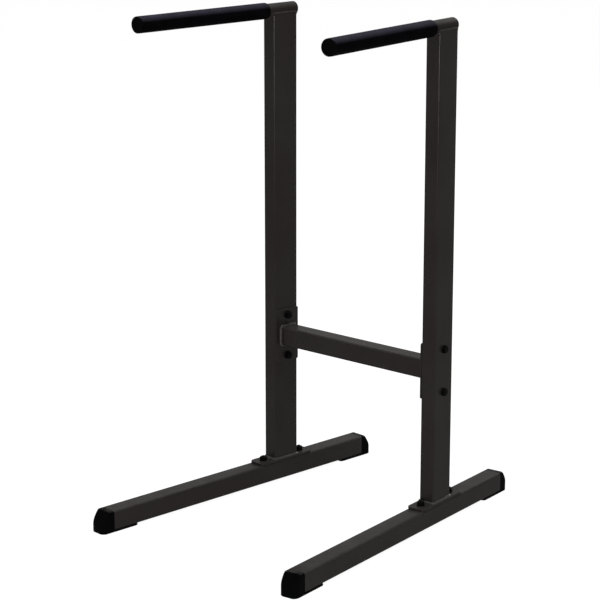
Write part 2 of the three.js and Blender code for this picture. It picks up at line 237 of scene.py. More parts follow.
# The same coat, duller on the handle tubes, with twice the lighter film on top, which paints the highlight
# along the tubes' upper side
handleLook = {
    **coatLook,
    "shader": {"Metallic": 0.0, "Specular IOR Level": 0.003, "Coat Weight": 0.045, "Coat Roughness": 0.35},
    "dustAndSheen": {"Amount": 0.4, "Patch Size": 0.04, "Unevenness": 0.6},
}


def coated(name, look):
    # Powder coat: orange peel, a slow change of tone, edges rubbed a little lighter, a thin clear top, and a
    # lighter film on what faces up: dust, and a painted reflection that lightens the tops.
    coat, tree, shader = newMaterial(name, look["shader"])
    grain = groupIn(tree, grainTree, look["grain"])
    rub = groupIn(tree, rubTree, look["rub"])
    dustAndSheen = groupIn(tree, dustAndSheenTree, look["dustAndSheen"])
    tone = mixed(tree, grain["Mottle"], look["dark"], look["light"])
    tone = mixed(tree, maths(tree, "MULTIPLY", rub["Mask"], look["rubbedShare"]), tone, look["rubbed"])
    # Painted reflection: the film lightens upward faces as light from above would, on top of a little dust.
    tone = mixed(tree, dustAndSheen["Mask"], tone, dustAndSheenTone)
    roughness = spread(tree, grain["Mottle"], 0.0, 1.0, *look["roughness"])
    duller = maths(tree, "MULTIPLY", dustAndSheen["Mask"], look["dullShare"])
    surfaced(tree, shader, tone, maths(tree, "ADD", roughness, duller), grain["Height"], look["texture"])
    return coat


powderCoat = coated("charcoalPowderCoat", coatLook)
# The weld coat's lighter tone is a painted highlight.
beadHighlightCoat = coated("weldCoatWithPaintedHighlight", beadHighlightLook)
handleCoat = coated("coatOnHandles", handleLook)

# Moulded black plastic of caps and plugs: fine spark-eroded texture, lighter edges that are faint scuffs and
# also a painted edge highlight, and a lighter film on the tops that is dust and painted light from above
plasticLook = {
    "dark": (0.0011, 0.0011, 0.0012), "light": (0.0018, 0.0018, 0.0019), "scuffAndEdgeHighlight": (0.02, 0.02, 0.02),
    "scuffAndHighlightShare": 0.3, "roughness": (0.52, 0.62),
    "shader": {"Metallic": 0.0, "Specular IOR Level": 0.006},
    "grain": {"Grain Size": 0.0006, "Mottle Size": 0.03},
    "rub": {"Edge Width": 0.0009, "Patch Size": 0.012},
    "dustAndSheen": {"Amount": 0.4, "Patch Size": 0.03, "Facing From": 0.75},
    "texture": {"Distance": 0.00008, "Strength": 0.7},
}
blackPlastic, tree, shader = newMaterial("mouldedPlastic", plasticLook["shader"])
grain = groupIn(tree, grainTree, plasticLook["grain"])
rub = groupIn(tree, rubTree, plasticLook["rub"])
dustAndSheen = groupIn(tree, dustAndSheenTree, plasticLook["dustAndSheen"])
tone = mixed(tree, grain["Mottle"], plasticLook["dark"], plasticLook["light"])
# Lighter edges: faint scuffs, and a painted highlight along the edges.
scuffsAndHighlight = maths(tree, "MULTIPLY", rub["Mask"], plasticLook["scuffAndHighlightShare"])
tone = mixed(tree, scuffsAndHighlight, tone, plasticLook["scuffAndEdgeHighlight"])
tone = mixed(tree, dustAndSheen["Mask"], tone, dustAndSheenTone)
roughness = spread(tree, grain["Mottle"], 0.0, 1.0, *plasticLook["roughness"])
surfaced(tree, shader, tone, roughness, grain["Height"], plasticLook["texture"])

# Closed-cell grip foam: small cells under a skin
foamLook = {
    "dark": (0.0012, 0.0012, 0.0014), "light": (0.0022, 0.0022, 0.0027), "paintedSheen": (0.098, 0.094, 0.134),
    "cellsPerMetre": 900.0, "cellShare": 0.6, "grainShare": 0.8, "roughness": (0.44, 0.52),
    "shader": {"Metallic": 0.0, "Specular IOR Level": 0.001},
    "grain": {"Grain Size": 0.0016, "Mottle Size": 0.05},
    "dustAndSheen": {"Amount": 0.28, "Patch Size": 0.05, "Facing From": 0.35, "Facing To": 0.85, "Unevenness": 0.35},
    "texture": {"Distance": 0.00018, "Strength": 0.6},
}
gripFoam, tree, shader = newMaterial("gripFoam", foamLook["shader"])
grain = groupIn(tree, grainTree, foamLook["grain"])
cells = wire(tree, "ShaderNodeTexVoronoi", {
    "Vector": wire(tree, "ShaderNodeTexCoord").outputs["Object"],
    "Scale": foamLook["cellsPerMetre"],
}, feature="SMOOTH_F1").outputs["Distance"]
# On the foam the lighter film is all painted sheen: its violet tone lightens the upper side as light from
# above would.
dustAndSheen = groupIn(tree, dustAndSheenTree, foamLook["dustAndSheen"])
tone = mixed(tree, grain["Mottle"], foamLook["dark"], foamLook["light"])
tone = mixed(tree, dustAndSheen["Mask"], tone, foamLook["paintedSheen"])
roughness = spread(tree, grain["Mottle"], 0.0, 1.0, *foamLook["roughness"])
pores = maths(tree, "MULTIPLY", cells, foamLook["cellShare"])
skin = maths(tree, "MULTIPLY", grain["Height"], foamLook["grainShare"])
surfaced(tree, shader, tone, roughness, maths(tree, "ADD", pores, skin), foamLook["texture"])

# Black-coated steel of the fasteners: bare metal where a spanner has touched the edges
fastenerLook = {
    "dark": (0.0012, 0.0012, 0.0013), "light": (0.003, 0.003, 0.003), "bare": (0.10, 0.095, 0.09),
    "wornShare": 0.22, "metalShare": 0.95, "roughness": (0.36, 0.5),
    "shader": {"Specular IOR Level": 0.008},
    "grain": {"Grain Size": 0.0005, "Mottle Size": 0.006},
    "rub": {"Edge Width": 0.0004, "Patch Size": 0.004},
    "dustAndSheen": {"Amount": 0.05, "Patch Size": 0.02},
    "texture": {"Distance": 0.00004, "Strength": 0.6},
}
blackSteel, tree, shader = newMaterial("blackSteel", fastenerLook["shader"])
grain = groupIn(tree, grainTree, fastenerLook["grain"])
rub = groupIn(tree, rubTree, fastenerLook["rub"])
dustAndSheen = groupIn(tree, dustAndSheenTree, fastenerLook["dustAndSheen"])
tone = mixed(tree, grain["Mottle"], fastenerLook["dark"], fastenerLook["light"])
worn = maths(tree, "MULTIPLY", rub["Mask"], fastenerLook["wornShare"])
tone = mixed(tree, worn, tone, fastenerLook["bare"])
tone = mixed(tree, dustAndSheen["Mask"], tone, dustAndSheenTone)
metal = spread(tree, worn, 0.0, 1.0, 0.0, fastenerLook["metalShare"])
tree.links.new(metal, shader.inputs["Metallic"])
roughness = spread(tree, grain["Mottle"], 0.0, 1.0, *fastenerLook["roughness"])
surfaced(tree, shader, tone, roughness, grain["Height"], fastenerLook["texture"])
print("materials ready")


# Mesh helpers

sameSpot = 1e-6  # metres: points of one mesh that lie closer than this are made one


def fromBmesh(name, shape, closeUp=False):
    if closeUp:
        bmesh.ops.remove_doubles(shape, verts=shape.verts, dist=sameSpot)
        bmesh.ops.recalc_face_normals(shape, faces=shape.faces)
    mesh = bpy.data.meshes.new(name)
    shape.to_mesh(mesh)
    shape.free()
    piece = bpy.data.objects.new(name, mesh)
    bpy.context.scene.collection.objects.link(piece)
    return piece


def skinned(name, rings, closed=False):
    # Joins rings of equally many points. A stack that doesn't close on itself is capped at both ends.
    shape = bmesh.new()
    loops = [[shape.verts.new(point) for point in ring] for ring in rings]
    count = len(rings[0])
    following = loops[1:] + (loops[:1] if closed else [])
    for lower, upper in zip(loops, following):
        for i in range(count):
            j = (i + 1) % count
            shape.faces.new((lower[i], lower[j], upper[j], upper[i]))
    if not closed:
        shape.faces.new(loops[0])
        shape.faces.new(loops[-1])
    return fromBmesh(name, shape, closeUp=True)


def fullTurn(steps):
    # Angles in equal steps.
    return [2 * pi * i / steps for i in range(steps)]


def circle(radius, height, steps):
    return [(radius * cos(angle), radius * sin(angle), height) for angle in fullTurn(steps)]


def turned(name, profile, steps, closed=False):
    # Turns (radius, height) pairs about Z.
    return skinned(name, [circle(radius, height, steps) for radius, height in profile], closed)


def edgeArc(radius, height, size, start, end, steps=4):
    # Part of a circle in a turned profile, in degrees.
    angles = [radians(start + (end - start) * i / steps) for i in range(steps + 1)]
    return [(radius + size * cos(angle), height + size * sin(angle)) for angle in angles]


def roundedOutline(width, depth, corner, steps=8, lowerCorner=None):
    # Points round a rectangle about its centre, anticlockwise. The two lower corners can differ.
    points = []
    for quarter in range(4):
        radius = corner if quarter < 2 or lowerCorner is None else lowerCorner
        middle = (quarter + 0.5) * pi / 2
        centreX = (width / 2 - radius) * (1 if cos(middle) > 0 else -1)
        centreY = (depth / 2 - radius) * (1 if sin(middle) > 0 else -1)
        for i in range(steps + 1):
            angle = (quarter + i / steps) * pi / 2
            points.append((centreX + radius * cos(angle), centreY + radius * sin(angle)))
    return points


def baked(piece):
    # Turns what the modifiers make into a plain mesh.
    graph = bpy.context.evaluated_depsgraph_get()
    mesh = bpy.data.meshes.new_from_object(piece.evaluated_get(graph), depsgraph=graph)
    piece.modifiers.clear()
    piece.data = mesh
    return piece


def eased(piece, width, sharpAngle):
    # Breaks the edges that are sharper than this angle, in degrees.
    bevel = piece.modifiers.new("eased", "BEVEL")
    bevel.width = width
    bevel.segments = 2
    bevel.limit_method = "ANGLE"
    bevel.angle_limit = radians(sharpAngle)
    return baked(piece)


def combined(piece, others, operation):
    for other in others:
        step = piece.modifiers.new("with", "BOOLEAN")
        step.operation = operation
        step.solver = "EXACT"
        step.object = other
    baked(piece)
    for other in others:
        bpy.data.objects.remove(other)
    return piece


def block(size, centre):
    shape = bmesh.new()
    bmesh.ops.create_cube(shape, size=1, matrix=Matrix.Translation(centre) @ Matrix.Diagonal((*size, 1)))
    return fromBmesh("block", shape)


def rod(radius, length, centre, axis="Z", steps=64):
    half = length / 2
    piece = turned("rod", [(0, -half), (radius, -half), (radius, half), (0, half)], steps)
    turns = {
        "X": Matrix.Rotation(pi / 2, 4, "Y"),
        "Y": Matrix.Rotation(pi / 2, 4, "X"),
        "Z": Matrix.Identity(4),
    }
    piece.data.transform(Matrix.Translation(centre) @ turns[axis])
    return piece


def moved(piece, matrix):
    piece.data.transform(matrix)
    return piece


def fitted(piece, material, nodes=(), smoothAngle=32):
    # Gives a finished piece its material and its place in the frame.
    piece.data.materials.clear()
    piece.data.materials.append(material)
    piece.data.shade_smooth()
    piece.data.set_sharp_from_angle(angle=radians(smoothAngle))
    weighted = piece.modifiers.new("weighted", "WEIGHTED_NORMAL")
    weighted.keep_sharp = True
    baked(piece)
    if nodes:
        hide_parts(*nodes)
    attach(piece, "root")
    return piece


# Geometry Nodes

def geometryTree(name, inputs, takesGeometry=False):
    tree = bpy.data.node_groups.new(name, "GeometryNodeTree")
    if takesGeometry:
        addSockets(tree, "INPUT", {"Geometry": ("Geometry", None)})
    addSockets(tree, "INPUT", inputs)
    addSockets(tree, "OUTPUT", {"Geometry": ("Geometry", None)})
    return tree, tree.nodes.new("NodeGroupInput").outputs, tree.nodes.new("NodeGroupOutput").inputs[0]


def endTree(tree, geometry, material, result):
    plain = wire(tree, "GeometryNodeRealizeInstances", {"Geometry": geometry}).outputs[0]
    finish = wire(tree, "GeometryNodeSetMaterial", {"Geometry": plain, "Material": material}).outputs[0]
    tree.links.new(finish, result)


def attribute(tree, name, kind):
    made = wire(tree, "GeometryNodeInputNamedAttribute", {"Name": name}, data_type=kind)
    return made.outputs[0]


def grown(name, tree, values, mesh=None):
    # A new piece, made by a tree and turned into a plain mesh.
    piece = bpy.data.objects.new(name, mesh or bpy.data.meshes.new(name))
    bpy.context.scene.collection.objects.link(piece)
    step = piece.modifiers.new(tree.name, "NODES")
    step.node_group = tree
    for socket in tree.interface.items_tree:
        if socket.in_out == "INPUT" and socket.name in values:
            step[socket.identifier] = values[socket.name]
    return baked(piece)


# Rolled tube: the wall's own section is swept round the tube's outline, so both ends come out deburred.
# Its length lies along Z, and a mitre slants both ends across Y.
tubeTree, asked, result = geometryTree("rolledTube", {
    "Width": ("Float", 0.05),
    "Depth": ("Float", 0.05),
    "Corner": ("Float", 0.006),
    "Wall": ("Float", 0.002),
    "Length": ("Float", 1.0),
    "Deburr": ("Float", 0.0003),
    "Mitre": ("Float", 0.0),
    "Material": ("Material", None),
})
halfWall = maths(tubeTree, "MULTIPLY", asked["Wall"], 0.5)
middleLine = wire(tubeTree, "GeometryNodeFilletCurve", {
    "Curve": wire(tubeTree, "GeometryNodeCurvePrimitiveQuadrilateral", {
        "Width": maths(tubeTree, "SUBTRACT", asked["Width"], asked["Wall"]),
        "Height": maths(tubeTree, "SUBTRACT", asked["Depth"], asked["Wall"]),
    }).outputs[0],
    "Count": 8,
    "Radius": maths(tubeTree, "SUBTRACT", asked["Corner"], halfWall),
}, mode="POLY").outputs[0]
wallSection = wire(tubeTree, "GeometryNodeFilletCurve", {
    "Curve": wire(tubeTree, "GeometryNodeCurvePrimitiveQuadrilateral", {
        "Width": asked["Wall"],
        "Height": asked["Length"],
    }).outputs[0],
    "Count": 2,
    "Radius": asked["Deburr"],
}, mode="POLY").outputs[0]
wallMesh = wire(tubeTree, "GeometryNodeCurveToMesh", {
    "Curve": middleLine,
    "Profile Curve": wallSection,
}).outputs[0]
spot = wire(tubeTree, "GeometryNodeInputPosition").outputs[0]
spot = wire(tubeTree, "ShaderNodeSeparateXYZ", {0: spot}).outputs
slant = maths(tubeTree, "MULTIPLY", maths(tubeTree, "SIGN", spot["Z"]), spot["Y"])
slant = maths(tubeTree, "MULTIPLY", slant, maths(tubeTree, "TANGENT", asked["Mitre"]))
shift = wire(tubeTree, "ShaderNodeCombineXYZ", {"Z": maths(tubeTree, "MULTIPLY", slant, -1.0)}).outputs[0]
mitred = wire(tubeTree, "GeometryNodeSetPosition", {"Geometry": wallMesh, "Offset": shift}).outputs[0]
endTree(tubeTree, mitred, asked["Material"], result)

# Weld bead: a ripple of overlapping scales along a path. Its section is a flat oval, turned to face the way
# that each point of the path has as its "outward".
beadMaking = {"stepsPerScale": 5.0, "lumpsPerMetre": 180.0, "swell": (0.88, 1.1), "stepsRound": 16}
beadTree, asked, result = geometryTree("weldBead", {
    "Half Width": ("Float", 0.0037),
    "Half Height": ("Float", 0.0022),
    "Scale Pitch": ("Float", 0.0022),
    "Ripple": ("Float", 0.12),
    "Wander": ("Float", 0.0004),
    "Seed": ("Float", 0.0),
    "Material": ("Material", None),
}, takesGeometry=True)
line = wire(beadTree, "GeometryNodeMeshToCurve", {"Mesh": asked["Geometry"]}).outputs[0]
line = wire(beadTree, "GeometryNodeResampleCurve", {
    "Curve": line,
    "Length": maths(beadTree, "DIVIDE", asked["Scale Pitch"], beadMaking["stepsPerScale"]),
}, mode="LENGTH").outputs[0]
line = wire(beadTree, "GeometryNodeSetCurveNormal", {
    "Curve": line,
    "Normal": attribute(beadTree, "outward", "FLOAT_VECTOR"),
}, mode="FREE").outputs[0]
travelled = wire(beadTree, "GeometryNodeSplineParameter").outputs["Length"]
phase = maths(beadTree, "FRACT", maths(beadTree, "DIVIDE", travelled, asked["Scale Pitch"]))
scale = maths(beadTree, "SUBTRACT", 1.0, maths(beadTree, "MULTIPLY", phase, asked["Ripple"]))
unsteady = wire(beadTree, "ShaderNodeTexNoise", {
    "Vector": wire(beadTree, "GeometryNodeInputPosition").outputs[0],
    "W": asked["Seed"],
    "Scale": beadMaking["lumpsPerMetre"],
    "Detail": 1.0,
}, noise_dimensions="4D").outputs
swell = spread(beadTree, unsteady["Fac"], *noiseSpan, *beadMaking["swell"])
section = wire(beadTree, "GeometryNodeTransform", {
    "Geometry": wire(beadTree, "GeometryNodeCurvePrimitiveCircle", {
        "Resolution": beadMaking["stepsRound"],
        "Radius": 1.0,
    }).outputs[0],
    "Scale": wire(beadTree, "ShaderNodeCombineXYZ", {
        "X": asked["Half Height"],
        "Y": asked["Half Width"],
        "Z": 1.0,
    }).outputs[0],
}).outputs[0]
bead = wire(beadTree, "GeometryNodeCurveToMesh", {
    "Curve": line,
    "Profile Curve": section,
    "Scale": maths(beadTree, "MULTIPLY", scale, swell),
    "Fill Caps": True,
}).outputs[0]
drift = wire(beadTree, "ShaderNodeVectorMath", {
    0: unsteady["Color"],
    1: (0.5, 0.5, 0.5),  # the middle of a noise colour
}, operation="SUBTRACT").outputs[0]
drift = wire(beadTree, "ShaderNodeVectorMath", {
    0: drift,
    "Scale": asked["Wander"],
}, operation="SCALE").outputs[0]
bead = wire(beadTree, "GeometryNodeSetPosition", {"Geometry": bead, "Offset": drift}).outputs[0]
endTree(beadTree, bead, asked["Material"], result)

# Fasteners: a copy of one model on each seat, faced along the seat's axis and turned about it
seatTree, asked, result = geometryTree("seatedFasteners", {
    "Model": ("Object", None),
    "Loose Turn": ("Float", 0.0),
    "Seed": ("Int", 1),
    "Material": ("Material", None),
}, takesGeometry=True)
model = wire(seatTree, "GeometryNodeObjectInfo", {"Object": asked["Model"]}).outputs["Geometry"]
looseTurn = wire(seatTree, "FunctionNodeRandomValue", {
    3: asked["Loose Turn"],  # the largest value
    "Seed": asked["Seed"],
}, data_type="FLOAT").outputs[1]
faced = wire(seatTree, "FunctionNodeAlignRotationToVector", {
    "Vector": attribute(seatTree, "axis", "FLOAT_VECTOR"),
}, axis="Z").outputs[0]
spin = wire(seatTree, "FunctionNodeAxisAngleToRotation", {
    "Axis": (0, 0, 1),
    "Angle": maths(seatTree, "ADD", attribute(seatTree, "turn", "FLOAT"), looseTurn),
}).outputs[0]
rotation = wire(seatTree, "FunctionNodeRotateRotation", {
    "Rotation": faced,
    "Rotate By": spin,
}, rotation_space="LOCAL").outputs[0]
copies = wire(seatTree, "GeometryNodeInstanceOnPoints", {
    "Points": asked["Geometry"],
    "Instance": model,
    "Rotation": rotation,
}).outputs[0]
endTree(seatTree, copies, asked["Material"], result)


# Steel frame

baseTube = millimetres(
    width=50, corner=6, wall=2, deburr=0.4, frontReach=590, rearReach=280, underside=5,
    neckHole=10.6, accessHole=28, boltReach=65, holeEdge=0.4,
)
baseTop = baseTube["underside"] + baseTube["width"]
baseMiddle = baseTube["underside"] + baseTube["width"] / 2
footPlate = millimetres(width=50, length=184, thickness=6, corner=12, hole=11, edge=0.8)
plateTop = baseTop + footPlate["thickness"]
upright = millimetres(width=40, depth=80, corner=4, wall=2, deburr=0.4, saddleDrop=9, hole=11, holeEdge=0.3)
uprightTop = layout["handleHeight"] - upright["saddleDrop"]
handle = millimetres(diameter=35, wall=2.5, deburr=0.4, frontReach=466, rearReach=44)
crossbar = millimetres(width=50, corner=6, wall=2, deburr=0.3)
endPlate = millimetres(
    depth=78, height=143, thickness=4.2, corner=5, boltReach=55, hole=11, edge=0.7, face=24.3,
)
cutter = millimetres(overrun=10, throughWall=10)
roundSteps = {"handle": 72, "hole": 40, "saddle": 96}
fitGap = 0.0003  # metres
cutAngle = 60  # degrees: what is sharper along a cut is eased
ontoY = Matrix.Rotation(pi / 2, 4, "X")  # what was drawn up Z points to -Y, and its depth is upright


def flatPlate(name, outline, holes, thickness, edge):
    # A plate cut from sheet, its rims eased: drawn as one flat curve with its holes.
    curve = bpy.data.curves.new(name, "CURVE")
    curve.dimensions = "2D"
    curve.fill_mode = "BOTH"
    curve.extrude = thickness / 2 - edge
    curve.bevel_depth = edge
    curve.bevel_resolution = 2
    curve.offset = -edge
    for points in [outline, *holes]:
        spline = curve.splines.new("POLY")
        spline.points.add(len(points) - 1)
        for point, (x, y) in zip(spline.points, points):
            point.co = (x, y, 0, 1)
        spline.use_cyclic_u = True
    drawn = bpy.data.objects.new(name, curve)
    bpy.context.scene.collection.objects.link(drawn)
    graph = bpy.context.evaluated_depsgraph_get()
    mesh = bpy.data.meshes.new_from_object(drawn.evaluated_get(graph), depsgraph=graph)
    bpy.data.objects.remove(drawn)
    shape = bmesh.new()
    shape.from_mesh(mesh)
    return fromBmesh(name, shape, closeUp=True)


def boltedPlate(name, plate, width, length, boltReach):
    # A plate with rounded corners and a bolt hole near each end.
    holes = []
    for sign in (-1, 1):
        hole = circle(plate["hole"] / 2, 0, roundSteps["hole"])
        holes.append([(x, sign * boltReach + y) for x, y, height in hole])
    outline = roundedOutline(width, length, plate["corner"], steps=12)
    return flatPlate(name, outline, holes, plate["thickness"], plate["edge"])


def rolledTube(name, steel, length, mitre=0.0):
    # The dictionary of a square tube has no depth.
    return grown(name, tubeTree, {
        "Width": steel["width"],
        "Depth": steel.get("depth", steel["width"]),
        "Corner": steel["corner"],
        "Wall": steel["wall"],
        "Length": length,
        "Deburr": steel["deburr"],
        "Mitre": mitre,
        "Material": powderCoat,
    })


def makeBaseTube(side):
    front, rear = baseTube["frontReach"], baseTube["rearReach"]
    tube = moved(rolledTube("baseTube_" + side, baseTube, front + rear), ontoY)
    moved(tube, Matrix.Translation((0, (rear - front) / 2, baseMiddle)))
    neck, depth = baseTube["neckHole"], cutter["throughWall"]
    cuts = []
    for y in (-baseTube["boltReach"], baseTube["boltReach"]):
        cuts.append(block((neck, neck, depth), (0, y, baseTop)))
        cuts.append(rod(baseTube["accessHole"] / 2, depth, (0, y, baseTube["underside"])))
    eased(combined(tube, cuts, "DIFFERENCE"), baseTube["holeEdge"], cutAngle)
    fitted(moved(tube, sidePlace(side)), powderCoat, ["base_tube_" + side])


def makeFootPlate(side):
    plate = boltedPlate(
        "footPlate_" + side, footPlate, footPlate["width"], footPlate["length"], baseTube["boltReach"],
    )
    moved(plate, sidePlace(side) @ Matrix.Translation((0, 0, baseTop + footPlate["thickness"] / 2)))
    fitted(plate, powderCoat, ["foot_plate_" + side])


def makeUpright(side):
    tube = rolledTube("upright_" + side + "_tube", upright, uprightTop - plateTop)
    moved(tube, Matrix.Translation((0, 0, (uprightTop + plateTop) / 2)))
    saddle, along = handle["diameter"] / 2 + fitGap, upright["depth"] + 2 * cutter["overrun"]
    hole, across = upright["hole"] / 2, upright["width"] + 2 * cutter["overrun"]
    cuts = [rod(saddle, along, (0, 0, layout["handleHeight"]), "Y", roundSteps["saddle"])]
    for sign in (-1, 1):
        height = layout["crossbarHeight"] + sign * endPlate["boltReach"]
        cuts.append(rod(hole, across, (0, 0, height), "X"))
    eased(combined(tube, cuts, "DIFFERENCE"), upright["holeEdge"], cutAngle)
    fitted(moved(tube, sidePlace(side)), powderCoat, ["upright_" + side])


def makeHandleTube(side):
    radius, wall, rim = handle["diameter"] / 2, handle["wall"], handle["deburr"]
    front, rear = handle["frontReach"], -handle["rearReach"]  # the front end is drawn upwards
    profile = [
        *edgeArc(radius - rim, front - rim, rim, 0, 90),
        *edgeArc(radius - wall + rim, front - rim, rim, 90, 180),
        *edgeArc(radius - wall + rim, rear + rim, rim, 180, 270),
        *edgeArc(radius - rim, rear + rim, rim, 270, 360),
    ]
    tube = turned("handleTube_" + side, profile, roundSteps["handle"], closed=True)
    moved(tube, sidePlace(side) @ Matrix.Translation((0, 0, layout["handleHeight"])) @ ontoY)
    fitted(tube, handleCoat, ["handle_tube_" + side])


def makeEndPlate(side):
    plate = boltedPlate(
        "endPlate_" + side, endPlate, endPlate["depth"], endPlate["height"], endPlate["boltReach"],
    )
    standing = Matrix(((0, 0, 1, 0), (1, 0, 0, 0), (0, 1, 0, 0), (0, 0, 0, 1)))  # drawn x, y become y, z
    inwards = -sides[side] * (endPlate["face"] - endPlate["thickness"] / 2)
    moved(plate, sidePlace(side) @ Matrix.Translation((inwards, 0, layout["crossbarHeight"])) @ standing)
    fitted(plate, powderCoat, ["crossbar_end_plate_" + side])


crossbarHalf = layout["spacing"] / 2 - endPlate["face"] / cos(splay)


def makeCrossbar():
    tube = rolledTube("crossbarTube", crossbar, 2 * crossbarHalf, splay)
    across = Matrix(((0, 0, 1, 0), (0, 1, 0, 0), (-1, 0, 0, 0), (0, 0, 0, 1)))  # drawn z becomes x
    moved(tube, Matrix.Translation((0, depthMiddle, layout["crossbarHeight"])) @ across)
    fitted(tube, powderCoat, ["crossbar"])


for side in sides:
    makeBaseTube(side)
    makeFootPlate(side)
    makeUpright(side)
    makeHandleTube(side)
    makeEndPlate(side)
makeCrossbar()
print("steel frame made")


# Weld beads: round the foot of each upright, round its saddle, and round both ends of the crossbar

weld = millimetres(halfWidth=4.1, halfHeight=2.4, lift=2.1, pitch=2.6, wander=0.4)
saddleWeld = millimetres(rimInset=3, rimAcross=18, rimLift=2.2)
saddleAngles = range(-146, -33, 8)  # degrees round the handle tube, where it lies in the upright's end
rimFacing = Vector((0.86, 0, 0.51))


def pathMesh(name, paths):
    # Each path is a closed line through its points, and each point knows which way its bead faces.
    mesh = bpy.data.meshes.new(name)
    points, edges, facings = [], [], []
    for path in paths:
        first = len(points)
        points.extend(point for point, facing in path)
        facings.extend(facing for point, facing in path)
        edges.extend((first + i, first + (i + 1) % len(path)) for i in range(len(path)))
    mesh.from_pydata(points, edges, [])
    mesh.attributes.new("outward", "FLOAT_VECTOR", "POINT")
    for i, facing in enumerate(facings):
        mesh.attributes["outward"].data[i].vector = facing
    return mesh


def inCorner(point, first, second, place=None):
    # A bead's middle in the corner between two faces, which have these normals.
    facing = (Vector(first) + Vector(second)).normalized()
    middle = Vector(point) + facing * weld["lift"]
    if place is None:
        return middle, facing
    return place @ middle, place.to_3x3() @ facing


def roundedNormals(width, depth, corner):
    # The points of roundedOutline, each with its normal, which is a point of an outline that is all corner.
    return list(zip(roundedOutline(width, depth, corner), roundedOutline(2, 2, 1)))


def footPath(side):
    path = []
    for (x, y), (across, along) in roundedNormals(upright["width"], upright["depth"], upright["corner"]):
        path.append(inCorner((x, y, plateTop), (across, along, 0), (0, 0, 1), sidePlace(side)))
    return path


def saddlePath(side):
    # Under the handle tube at the front and rear walls, and between tube and wall along both sides.
    radius, reach = handle["diameter"] / 2, upright["depth"] / 2
    under = [radians(angle) for angle in saddleAngles]
    front = [inCorner(
        (radius * cos(angle), -reach, layout["handleHeight"] + radius * sin(angle)),
        (0, -1, 0), (cos(angle), 0, sin(angle)),
    ) for angle in under]
    rimHeight, rimReach = uprightTop + saddleWeld["rimLift"], reach - saddleWeld["rimInset"]
    rims = [(Vector((saddleWeld["rimAcross"], y, rimHeight)), rimFacing) for y in (-rimReach, 0, rimReach)]
    half = front + rims
    opposite = [
        (Vector((-x, -y, z)), Vector((-across, -along, up))) for (x, y, z), (across, along, up) in half
    ]
    place = sidePlace(side)
    return [(place @ point, place.to_3x3() @ facing) for point, facing in half + opposite]


def crossbarPath(side):
    sign = sides[side]
    path = []
    plateNormal = (-sign * cos(splay), -sin(splay), 0)
    for (y, z), (along, up) in roundedNormals(crossbar["width"], crossbar["width"], crossbar["corner"]):
        point = (sign * (crossbarHalf - y * tan(splay)), depthMiddle + y, layout["crossbarHeight"] + z)
        path.append(inCorner(point, (0, along, up), plateNormal))
    return path


for name, pathOf, coat, seed in (
    ("footWelds", footPath, beadHighlightCoat, 1.0),
    ("saddleWelds", saddlePath, powderCoat, 2.0),
    ("crossbarWelds", crossbarPath, beadHighlightCoat, 3.0),
):
    beads = grown(name, beadTree, {
        "Half Width": weld["halfWidth"],
        "Half Height": weld["halfHeight"],
        "Scale Pitch": weld["pitch"],
        "Wander": weld["wander"],
        "Seed": seed,
        "Material": coat,
    }, pathMesh(name, [pathOf(side) for side in sides]))
    fitted(beads, coat, smoothAngle=60)
print("weld beads laid")


# Foot caps: a nose beyond the tube, a spigot inside it and a pad under it

footCap = millimetres(
    width=49.8, height=55, corner=6, leastSide=0.5, soleEdge=2, seamEdge=0.6,
    nose=36.9, noseCorner=15, noseStart=0.3, level=12, shoulder=18.5, shoulderDrop=6, slantDrop=35, toe=1.5,
    padThickness=4.8, padReach=77, padCorner=8, padEdge=0.6, padLap=18, ringGap=0.2,
    spigotLength=30, spigotWall=2.5, spigotCorner=3.7, spigotLap=6, hollowDepth=4,
)
capSteps = {"shoulder": 8, "nose": 12, "pad": 10}
seamAngle = 50  # degrees: what is sharper on a cap is eased
nearZero = 1e-9


def noseTop(out):
    # Height of the nose's top: level, then a rounded shoulder, then a straight slant.
    slope = (footCap["slantDrop"] - footCap["shoulderDrop"]) / (footCap["nose"] - footCap["shoulder"])
    if out <= footCap["level"]:
        return footCap["height"]
    if out >= footCap["shoulder"]:
        return footCap["height"] - footCap["shoulderDrop"] - slope * (out - footCap["shoulder"])
    # A quadratic curve joins the level part to the slant, with its control point on the level line.
    control = footCap["shoulder"] - footCap["shoulderDrop"] / slope
    a = footCap["level"] - 2 * control + footCap["shoulder"]
    b = 2 * (control - footCap["level"])
    c = footCap["level"] - out
    t = (-b + (b * b - 4 * a * c) ** 0.5) / (2 * a) if abs(a) > nearZero else -c / b
    return footCap["height"] - footCap["shoulderDrop"] * t * t


def roundedIn(distance, reach, radius):
    # How far a corner of this radius pulls in, where distance approaches reach.
    over = distance - (reach - radius)
    return radius - (max(radius * radius - over * over, 0)) ** 0.5 if over > 0 else 0


def noseRing(out):
    low = roundedIn(out, footCap["nose"], footCap["toe"])
    high = noseTop(out)
    width = footCap["width"] - 2 * roundedIn(out, footCap["nose"], footCap["noseCorner"])
    corner = min(footCap["corner"], (high - low) / 2 - footCap["leastSide"])
    outline = roundedOutline(width, high - low, corner, lowerCorner=footCap["soleEdge"])
    return [(x, -out, (high + low) / 2 + z) for x, z in outline]


def padRing(out):
    # out is measured under the tube, away from the nose.
    width = footCap["width"] - 2 * roundedIn(out, footCap["padReach"], footCap["padCorner"])
    thickness = footCap["padThickness"]
    outline = roundedOutline(width, thickness, footCap["padEdge"], lowerCorner=footCap["soleEdge"])
    return [(x, out, thickness / 2 + z) for x, z in outline]


def roundingStations(reach, radius, steps):
    # They lie closer together towards reach, where a corner of this radius ends.
    return [reach - radius * (1 - sin(pi / 2 * i / steps)) for i in range(steps + 1)]


